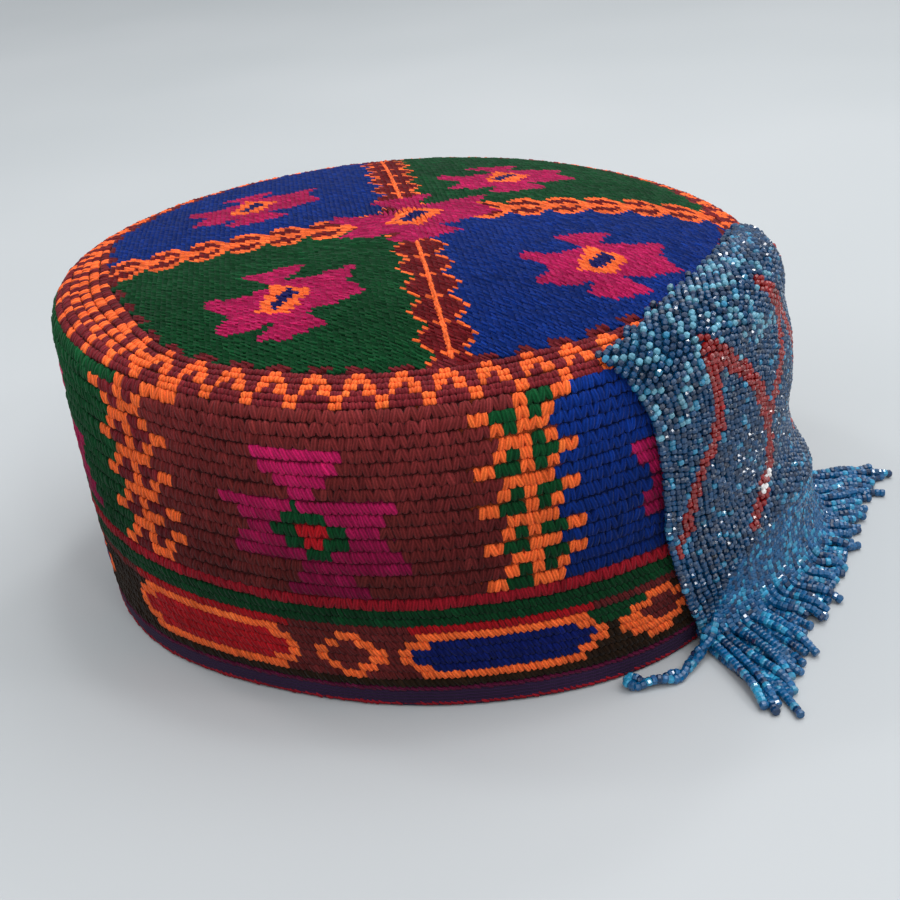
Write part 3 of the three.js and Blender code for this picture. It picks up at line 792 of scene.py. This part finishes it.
def band_ground(azimuth, run):
    return band_colour(cell_of(azimuth), azimuth, band_level(azimuth, run))


def crown_ground(azimuth, run):
    on_border = run < border_head(azimuth)
    *_, edge_r, _, end = section(azimuth)
    a = np.radians(azimuth - CROWN_TURN)
    radius = np.maximum(edge_r - (run - end), 0)
    colour = crown_colour(radius * np.sin(a), radius * np.cos(a), azimuth, run)
    return np.where(on_border, ground_colour(azimuth, run), colour)


def crown_shell():
    azimuths = COLUMN_AZIMUTH + np.arange(CELLS // 2) * CELL * 2
    count, rows_out, rows_in = len(azimuths), 46, 20
    az = azimuths[:, None]
    _, _, wall, _, _, edge_r, _, end = section(az)
    foot, centre = wall + SEAM_GAP / 2, end + edge_r

    # rows lie closer towards the middle, up to a small ring round the pole
    def spread(rows):
        share = np.linspace(0, 1, rows)[None] ** 0.85
        return foot + (centre - 0.35 - foot) * share

    outer = cap_point(az, spread(rows_out), GROUND_DEPTH)
    inner = cap_point(az, spread(rows_in), CLOTH)
    loop = np.concatenate([inner[:, ::-1], outer], axis=1)
    rows = rows_out + rows_in
    middle = float(centre.mean())
    poles = [cap_point(0, middle, CLOTH), cap_point(0, middle, GROUND_DEPTH)]
    points = np.concatenate([loop.reshape(-1, 3), poles])
    quads = net(count, rows, closed=False).reshape(-1, 4)
    ids = np.arange(count * rows).reshape(count, rows)
    nxt, pole = np.roll(ids, -1, axis=0), np.full(count, ids.size)
    below = np.stack([pole, nxt[:, 0], ids[:, 0]], -1)
    above = np.stack([ids[:, -1], nxt[:, -1], pole + 1], -1)
    sides = np.tile(np.arange(rows - 1) < rows_in, count)
    lined = np.concatenate([sides, np.ones(count), np.zeros(count)])
    runs = np.concatenate([spread(rows_in)[:, ::-1], spread(rows_out)], axis=1).ravel()
    colours = PALETTE[crown_ground(np.repeat(azimuths, rows), runs)]
    colours = np.concatenate([colours, PALETTE[[INDEX["navy"]] * 2]])
    faces = [quads, below, above]
    cloth_piece("crown_cloth", points, faces, colours, lined, "crown")


def hem_piece():
    """The woven tape round the lower edge, with fine ridges along it."""
    azimuths = np.arange(CELLS // 2) * CELL * 2
    az = azimuths[:, None]
    top = HEM_HEIGHT - SEAM_GAP / 2
    heights = np.linspace(HEM_ROUND, top, 19)[None]
    ridges = 0.14 + 0.1 * np.cos(heights * 2 * math.pi / 0.9)
    turn = np.linspace(0, math.pi / 2, 4)[None]
    parts = [
        cap_point(az, HEM_ROUND * (1 - np.sin(turn)), 1.0 - HEM_ROUND * np.cos(turn))[:, ::-1],
        cap_point(az, heights, ridges),
        cap_point(az, top + 0 * az, 1.2),
        cap_point(az, top + 0 * az, HEM_THICKNESS),
        cap_point(az, 0.3 + 0 * az, HEM_THICKNESS),
        cap_point(az, 0 * az, HEM_THICKNESS - 0.3),
    ]
    loop = np.concatenate(parts, axis=1)
    faces = net(*loop.shape[:2]).reshape(-1, 4)
    piece = mesh_piece(
        "hem_tape", loop.reshape(-1, 3), [faces], MATERIALS["hem"]
    )
    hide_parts("hem_binding")


# Stitches


def round_grid(rows):
    """Cell, row and azimuth of every strand in rows round the cap."""
    cell, row = (v.ravel() for v in np.meshgrid(np.arange(CELLS), np.arange(rows), indexing="ij"))
    return cell, row, COLUMN_AZIMUTH + CELL * (cell + 0.5)


def wall_stitches():
    """Strands of the wall and the border, parallel in the magenta and in pairs elsewhere."""
    cell, rib, azimuth = round_grid(WALL_RIBS + BORDER_RIBS)
    low, high = rib_edge(azimuth, rib), rib_edge(azimuth, rib + 1)
    run = (low + high) / 2
    colour = wall_colour(cell, rib, azimuth, run)
    pairs = np.where(cell % 2 == 0, 15.0, -15.0)
    flip = np.random.default_rng(5).random(len(cell)) < 0.15
    lean = np.where(colour == INDEX["magenta"], 24.0, np.where(flip, -pairs, pairs))
    run = run + wander(azimuth, rib, 0.16)
    half = (high - low) / 2 * 1.1
    for name, on, slot in (
        ("wall_embroidery", rib < CROWN_RIB, "panel_cloth"),
        ("border_embroidery", rib >= CROWN_RIB, "crown_cloth"),
    ):
        stitch_piece(
            name, azimuth[on], run[on], lean[on], half[on], WALL_STRAND, colour[on], 11,
            PLUMP,
        )


def band_stitches():
    cell, row, azimuth = round_grid(BAND_ROWS)
    pitch = (band_top(azimuth) - BAND_FOOT) / BAND_ROWS
    run = BAND_FOOT + pitch * (row + 0.5)
    colour = band_colour(cell, azimuth, band_level(azimuth, run))
    run = run + wander(azimuth, row, 0.08)
    lean, half = np.where(row % 2 == 0, 34.0, 28.0), pitch / 2 * 1.4
    stitch_piece(
        "band_embroidery", azimuth, run, lean, half, BAND_STRAND, colour, 12, SLIM
    )


def crown_stitches():
    # a square grid that reaches past the rim on all sides
    reach = np.arange(-75, 76) * CROWN_PITCH
    p, q = (v.ravel() for v in np.meshgrid(reach, reach + CROWN_PHASE % CROWN_PITCH, indexing="ij"))
    azimuth, run = crown_spot(p, q)
    keep = (run > border_head(azimuth) + 0.2) & (np.hypot(p, q) > 0.1)
    p, q, azimuth, run = p[keep], q[keep], azimuth[keep], run[keep]
    colour = crown_colour(p, q, azimuth, run)
    # strands lie on the square grid's diagonal, whatever the azimuth, and a stem's along it
    lean = CROWN_TURN - azimuth + 45.0
    stem = (np.abs(p) < 0.6) & (colour == INDEX["orange"]) & (np.abs(q) > 12)
    lean = np.where(stem, CROWN_TURN - azimuth, lean)
    width = np.where(stem, STEM_STRAND, CROWN_STRAND)
    stitch_piece(
        "crown_embroidery", azimuth, run, lean, 1.2, width, colour, 13, RIDGE
    )


def edge_stitches():
    """Threads along the hem: a crimson line at its foot and a purple one at its head."""
    both = np.tile(round_grid(1)[2], 2)
    run = np.repeat([1.05, 5.25], CELLS)
    threads = np.repeat([INDEX["crimson"], INDEX["purple"]], CELLS)
    stitch_piece(
        "hem_edge_threads", both, run, 68.0, 1.15, 0.55, threads, 14, SLIM
    )


# Beads


def bead_template(sides, rings):
    """A bead with its hole along x: rings are (place along x, radius)."""
    angle = np.linspace(0, 2 * math.pi, sides, endpoint=False)
    points = [(x, r * math.cos(a), r * math.sin(a)) for x, r in rings for a in angle]
    quads = net(len(rings), sides)[:-1].reshape(-1, 4)
    start = np.arange(sides)[None]
    end = (len(rings) - 1) * sides + start[:, ::-1]
    return np.array(points), [quads, start, end]


ROUND_BEAD = [(-0.9, 0.5), (-0.4, 1.0), (0.4, 1.0), (0.9, 0.5)]
TUBE_BEAD = [(-0.98, 0.8), (-0.45, 1.0), (0.45, 1.0), (0.98, 0.8)]

# Lines of red beads on the flap, as shares of its width and length.
RED_LINES = [
    [(0.213, 0.186), (0.2, 0.237), (0.199, 0.336), (0.194, 0.424), (0.181, 0.5), (0.15, 0.527),
     (0.112, 0.545), (0.094, 0.574), (0.071, 0.617), (0.046, 0.678), (0.02, 0.71)],
    [(0.213, 0.186), (0.27, 0.308), (0.325, 0.396), (0.378, 0.492), (0.401, 0.578), (0.426, 0.682),
     (0.434, 0.756), (0.401, 0.833), (0.369, 0.864), (0.331, 0.899), (0.279, 0.936),
     (0.249, 0.972)],
    [(0.542, 0.182), (0.562, 0.241), (0.59, 0.318), (0.562, 0.398), (0.533, 0.483), (0.492, 0.532),
     (0.454, 0.592), (0.43, 0.651)],
    [(0.542, 0.182), (0.6, 0.26), (0.66, 0.36), (0.71, 0.48), (0.74, 0.6), (0.75, 0.74),
     (0.72, 0.86)],
    [(0.88, 0.19), (0.87, 0.3), (0.84, 0.42), (0.8, 0.53), (0.75, 0.62)],
    [(0.88, 0.19), (0.92, 0.32), (0.96, 0.46), (0.995, 0.6)],
]
WHITE_BEADS = [(0.378, 0.870), (0.338, 0.897)]
BRIGHT_BEADS = [(0.114, 0.320), (0.027, 0.361), (0.169, 0.212), (0.032, 0.713)]
FLAP_SIZE = np.array([90.0, 76.0])  # its width and length in millimetres
FLAP_COLUMNS = 56
BEAD_PITCH = 1.46
BEAD_RADIUS = 0.93
BEAD_STAND = 1.2  # of a bead's middle from the flap's back
BEAD_FILL = 0.56  # half of a bead's length, as a share of the pitch on its thread
RED_REACH = 2.15  # from a red line to its outermost beads


def near_line(x, y, line):
    """Distance in millimetres from places on the flap to a line on it."""
    spot = np.stack([x, y], -1) * FLAP_SIZE
    best = np.full(len(spot), 1e9)
    points = np.array(line) * FLAP_SIZE
    for a, b in zip(points[:-1], points[1:]):
        along = b - a
        t = np.clip(((spot - a) @ along) / (along @ along), 0, 1)
        best = np.minimum(best, np.linalg.norm(spot - a - t[:, None] * along, axis=1))
    return best


def bead_piece(name, centre, along, out, length, radius, tint, template, material):
    along = unit(along)
    across = unit(np.cross(out, along))
    out = np.cross(along, across)
    size = radius[:, None]
    points, copies = repeated(*template, (centre, along * length, across * size, out * size))
    colours = np.repeat(np.clip(tint, 0, 1), len(template[0]), axis=0)
    return mesh_piece(name, points, copies, material, colours, None, smooth=False)


def flap_beads():
    rng = np.random.default_rng(21)
    across, down = [], []
    for column in range(-1, FLAP_COLUMNS):
        a = max(column + 0.5, -0.35) / FLAP_COLUMNS
        spots = np.linspace(0, 1, 60)
        line = flap_point(a, spots, 1.1)
        length = np.linalg.norm(np.diff(line, axis=0), axis=1).sum()
        count = round(length / BEAD_PITCH)
        steps = np.arange(rng.integers(0, 2), count + 2)
        across.append(np.full(len(steps), a))
        down.append((steps + 0.5 + 0.5 * (column % 2)) / count)
    across, down = np.concatenate(across), np.concatenate(down)
    n = len(across)
    stray = rng.normal(0, 0.0016, (2, n))
    a, d = across + stray[0], down + stray[1]
    level = BEAD_STAND + rng.normal(0, 0.08, n)
    centre = flap_point(a, d, 0.0)
    ahead = flap_point(a, d + 0.01, 0.0)
    aside = flap_point(a + 0.01, d, 0.0)
    along, side = unit(ahead - centre), unit(aside - centre)
    out = unit(np.cross(along, side))
    centre = centre + out * level[:, None]
    out = out + 0.5 * rng.normal(0, 1, (n, 3))
    along = along + 0.07 * rng.normal(0, 1, (n, 3))
    pick = rng.random(n)
    colour = np.full(n, INDEX["teal"])
    paint(colour, pick < 0.3, "slate")
    paint(colour, pick > 0.92, "brightteal")
    # painted sheen: a fifth of the beads on the flap's upper left are pale teal, where its shoulder
    # catches the light
    paint(colour, (down < 0.34) & (across < 0.62) & (rng.random(n) < 0.2), "painted_sheen_teal")
    from_red = np.min([near_line(across, down, line) for line in RED_LINES], axis=0)
    paint(colour, from_red < RED_REACH, "beadred")
    tint = PALETTE[colour] * rng.normal(1, 0.16, n)[:, None]
    for spots, name, reach in ((BRIGHT_BEADS, "brightteal", 1.3), (WHITE_BEADS, "beadwhite", 1.1)):
        for spot in spots:
            gap = np.linalg.norm((np.stack([across, down], -1) - spot) * FLAP_SIZE, axis=1)
            tint[gap < max(reach, gap.min() + 0.01)] = PALETTE[INDEX[name]]
    return bead_piece(
        "flap_seed_beads", centre, along, out, BEAD_PITCH * BEAD_FILL,
        BEAD_RADIUS * rng.normal(1, 0.05, n), tint, bead_template(8, ROUND_BEAD),
        MATERIALS["bead"],
    )


def flap_weave():
    """The thread backing of the flap: a thin closed sheet under its beads."""
    columns, rows = 60, 50
    across, down = np.meshgrid(np.linspace(0, 1, columns), np.linspace(1, 0.02, rows))
    outer = flap_point(across, down, 0.75).reshape(-1, 3)
    inner = flap_point(across, down, 0.1).reshape(-1, 3)
    ids = np.arange(rows * columns).reshape(rows, columns)
    face = np.stack([ids[:-1, :-1], ids[:-1, 1:], ids[1:, 1:], ids[1:, :-1]], -1).reshape(-1, 4)
    back = face[:, ::-1] + ids.size
    edge = np.concatenate([ids[0], ids[1:, -1], ids[-1, -2::-1], ids[-2:0:-1, 0]])
    nxt = np.roll(edge, -1)
    side = np.stack([edge, edge + ids.size, nxt + ids.size, nxt], -1)
    piece = mesh_piece(
        "flap_weave", np.concatenate([outer, inner]), [face, back, side], MATERIALS["backing"],
    )
    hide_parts("bead_flap")
    return piece


STRAND_RADIUS = 1.08
STRAND_PITCH = 1.32
# How strands lie in a lock: offset across it as a share of its width, height above the floor,
# share of its length.
STRANDS = [
    (-0.60, 1.1, 0.96), (-0.20, 1.1, 1.04), (0.22, 1.1, 1.0), (0.62, 1.1, 0.93), (-0.42, 2.7, 0.9),
    (0.0, 2.9, 1.0), (0.42, 2.7, 0.94),
]
# The loose strand at the flap's front corner: a path on the floor.
LOOSE = [
    (62.0, -72.5, 6.6), (59.6, -75.6, 4.9), (57.4, -78.2, 2.6), (55.0, -80.6, 1.3),
    (52.0, -84.2, 1.05), (49.0, -86.4, 1.05), (44.9, -87.0, 1.05), (41.7, -87.6, 1.05),
    (38.9, -87.6, 1.1),
]


def strand_beads(path, pitch):
    """Even places along a path, with their directions."""
    path = np.asarray(path, float)
    run = np.concatenate([[0], np.cumsum(np.linalg.norm(np.diff(path, axis=0), axis=1))])
    at = np.arange(pitch / 2, run[-1], pitch)

    def place(at):
        return np.stack([np.interp(at, run, path[:, k]) for k in range(3)], -1)

    return place(at), unit(place(at + 0.3) - place(at - 0.3))


def smooth_path(points, count):
    """A Catmull-Rom curve through points."""
    points = np.asarray(points, float)
    padded = np.concatenate([points[:1], points, points[-1:]])
    at = np.linspace(0, len(points) - 1.0001, count)
    i = at.astype(int)
    t = (at - i)[:, None]
    return hermite(padded[i], padded[i + 1], padded[i + 2], padded[i + 3], t)


def lock_path(lock, offset, floor, length, rng):
    """One strand of a lock, from the flap's lower edge over the floor."""
    share, long, swing_share, turn, sway = lock
    along = share + offset * LOCK_WIDTH / FLAP_SIZE[0]
    root = flap_point(min(max(along, 0.005), 0.995), 1.0, FLAP_THICKNESS / 2)
    root[2] -= SEAM_GAP + FRINGE_HEADER * LOCK_SINK
    left, right = FLAP_SIDES[-1, 1:]
    azimuth = left + (right - left) * along
    out_angle = math.radians(azimuth + turn + rng.normal(0, 4.0))
    out = np.array([math.sin(out_angle), -math.cos(out_angle), 0.0])
    aside = np.array([math.cos(out_angle), math.sin(out_angle), 0.0])
    drop = root[2] - floor
    swing = drop * swing_share
    hanging = math.pi / 2 * math.sqrt((drop * drop + swing * swing) / 2)
    long = long * length * rng.uniform(0.84, 1.0)
    lying = max(FRINGE_LENGTH * long - hanging, LOCK_WIDTH)
    reach = swing + lying
    t = np.linspace(0, math.pi / 2, 14)
    forward = np.concatenate([swing * (1 - np.cos(t)), swing + np.linspace(0, lying, 20)[1:]])
    height = np.concatenate([floor + drop * (1 - np.sin(t)), np.full(19, floor)])
    s = forward / reach
    height = height - (floor - STRAND_RADIUS) * np.clip((s - 0.75) / 0.25, 0, 1) ** 1.5
    wave = rng.normal(0, 0.6) * np.sin(2 * math.pi * s * rng.uniform(0.7, 1.3)) * s
    bend = sway * reach * np.sin(math.pi * s) + wave * 1.6 + rng.normal(0, 1.3) * s**2
    path = root + out * forward[:, None] + aside * bend[:, None]
    path[:, 2] = np.maximum(height, STRAND_RADIUS)
    return path


def fringe():
    rng = np.random.default_rng(31)
    paths = [
        lock_path(lock, offset + rng.normal(0, 0.03), floor, length, rng)
        for lock in LOCKS
        for offset, floor, length in STRANDS
    ]
    # the loose strand is two threads of beads about each other, with a knot of them at its end
    loose = smooth_path(LOOSE, 80)
    turn = np.linspace(0, 14, 80)
    for phase in (0, math.pi):
        coil = np.stack([np.sin(turn + phase), np.cos(turn + phase), 0 * turn], -1)
        lift = [0, 0, 0.5] * (1 + np.sin(2 * turn + phase))[:, None]
        paths.append(loose + 0.75 * coil + lift)
    knot = loose[-1] + [(1.5, 0.8, 1.2), (-0.3, 1.9, 1.0), (-1.4, 0.2, 0.9), (0.4, -1.5, 0.9)]
    paths.append(smooth_path(knot, 20))
    spots, ways = zip(*(strand_beads(path, STRAND_PITCH) for path in paths))
    centre, along = np.concatenate(spots), np.concatenate(ways)
    n = len(centre)
    out = [0.0, 0.0, 1.0] + 0.5 * rng.normal(0, 1, (n, 3))
    pick = rng.random(n)
    colour = np.full(n, INDEX["fringe"])
    paint(colour, pick < 0.2, "fringedark")
    paint(colour, pick > 0.8, "fringelight")
    tint = PALETTE[colour] * rng.normal(1, 0.12, n)[:, None]
    piece = bead_piece(
        "fringe_bead_strands", centre, along, out, STRAND_PITCH * BEAD_FILL,
        STRAND_RADIUS * rng.normal(1, 0.04, n), tint, bead_template(8, TUBE_BEAD),
        MATERIALS["strand"],
    )
    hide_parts("bead_fringe")
    return piece


# Studio


def studio():
    scene = bpy.context.scene
    scene.view_settings.view_transform = "Standard"
    camera = added("camera", bpy.data.cameras.new("camera"))
    camera.data.lens, camera.data.sensor_width = 54.0, 36.0
    camera.data.clip_start = 0.01
    right = (0.99472, -0.05311, -0.08781)
    up = (0.10237, 0.45332, 0.88545)
    back = (-0.00722, -0.88976, 0.45637)
    place = (-0.015577, -0.334546, 0.19624)
    rows = [(right[k], up[k], back[k], place[k]) for k in range(3)]
    camera.matrix_world = Matrix(rows + [(0.0, 0.0, 0.0, 1.0)])
    scene.camera = camera

    mesh = bpy.data.meshes.new("floor")
    size = 4.0
    corners = [(-size, -size, 0), (size, -size, 0), (size, size, 0), (-size, size, 0)]
    mesh.from_pydata(corners, [], [(0, 1, 2, 3)])
    floor = added("floor", mesh)
    material, tree, shader = node_material("floor_matte")
    cloud = noise(tree, add_node(tree, "TexCoord").outputs["Object"], 3.0, 2.0)
    shades = linear((171, 175, 177)), linear((179, 182, 184))
    set_node(tree, shader, Base_Color=ramp(tree, cloud, 0.3, 0.7, *shades), Roughness=0.9)
    mesh.materials.append(material)

    world = bpy.data.worlds.new("world")
    world.use_nodes = True
    tree = world.node_tree
    # a soft sky: bright overhead, dim towards the horizon
    way = add_node(tree, "TexCoord").outputs["Generated"]
    height = add_node(tree, "SeparateXYZ", Vector=way).outputs["Z"]
    sky = ramp(tree, height, 0.0, 0.85, (0.36, 0.38, 0.4), (1.0, 1.03, 1.06))
    set_node(tree, tree.nodes["Background"], Color=sky, Strength=0.95)
    scene.world = world
    for name, place, size, power in (
        ("key", (0.45, 0.15, 1.2), 1.0, 6.5),
        ("front", (-0.2, -1.2, 0.9), 1.0, 2.5),
        ("spark_back", (0.25, 0.6, 0.8), 0.12, 1.3),
        ("spark_right", (0.7, -0.3, 0.7), 0.12, 0.9),
        ("spark_left", (-0.5, 0.3, 0.9), 0.12, 1.1),
        ("spark_high", (0.1, 0.1, 1.1), 0.12, 1.3),
        ("spark_front", (0.3, -0.7, 0.8), 0.12, 0.9),
    ):
        light = bpy.data.lights.new(name, "AREA")
        light.size, light.energy = size, power
        lamp = added(name, light)
        lamp.location = place
        aim = Vector((-0.015, 0.0, 0.05)) - Vector(place)
        lamp.rotation_mode = "QUATERNION"
        lamp.rotation_quaternion = aim.to_track_quat("-Z", "Y")


studio()
crown_shell()
ring_shell(
    "wall_cloth", "side_wall",
    lambda az: BAND_TOP + SEAM_GAP / 2 + 0 * az, lambda az: section(az)[2] - SEAM_GAP / 2,
    40, ground_colour,
)
ring_shell(
    "band_ground", "lower_band",
    lambda az: HEM_HEIGHT + SEAM_GAP / 2 + 0 * az, lambda az: BAND_TOP - SEAM_GAP / 2 + 0 * az,
    21, band_ground,
)
hem_piece()
wall_stitches()
band_stitches()
crown_stitches()
edge_stitches()
weave = flap_weave()
beads = flap_beads()
strands = fringe()
